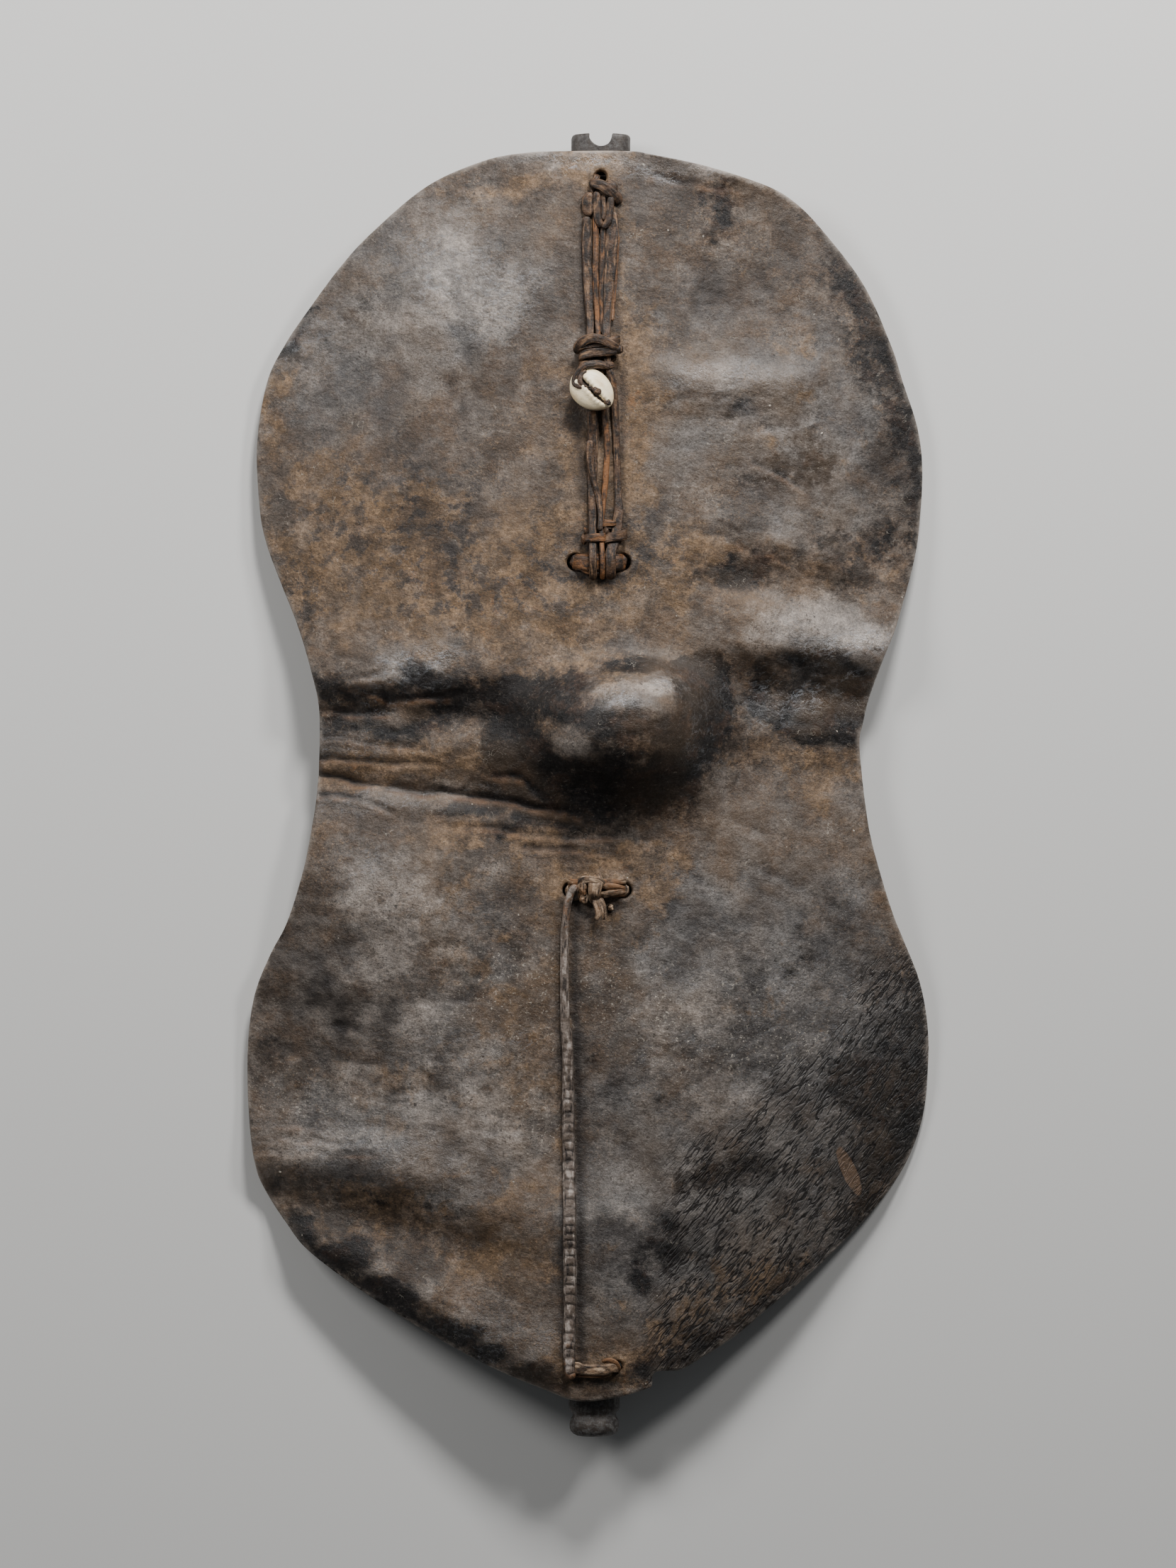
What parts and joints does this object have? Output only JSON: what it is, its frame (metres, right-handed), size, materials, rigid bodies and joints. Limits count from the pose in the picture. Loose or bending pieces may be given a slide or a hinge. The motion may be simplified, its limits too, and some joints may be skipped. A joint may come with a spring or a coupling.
{
  "type": "hide shield",
  "caption": "Waisted rawhide shield with a hand boss, a forked wooden stave behind it, thong lashings and a cowrie, lying on its back",
  "frame": {"origin": "Centre of the shield's footprint, on the surface that it lies on", "axes": "+Y to the forked end, +X to the right seen from the face, +Z out of the face"},
  "size_m": [0.4174, 0.791, 0.09],
  "materials": {
    "hide": "worn satin rawhide with a dark patina",
    "stave": "smooth dark handled wood",
    "thong": "dry twisted hide strips",
    "rusty_thong": "orange brown stained hide strips",
    "cowrie": "polished cream shell"
  },
  "bodies": {
    "root": {"hide": "hide", "stave": "stave", "top_lashing": "thong", "left_strand": "thong", "middle_strand": "rusty_thong", "right_strand": "thong", "knot_wrap": "thong", "cowrie": "cowrie", "cowrie_tie": "thong", "left_wrap": "rusty_thong", "right_wrap": "thong", "slot_lashing": "rusty_thong", "mid_lashing": "thong", "long_thong": "thong", "foot_lashing": "thong"}
  },
  "joints": []
}
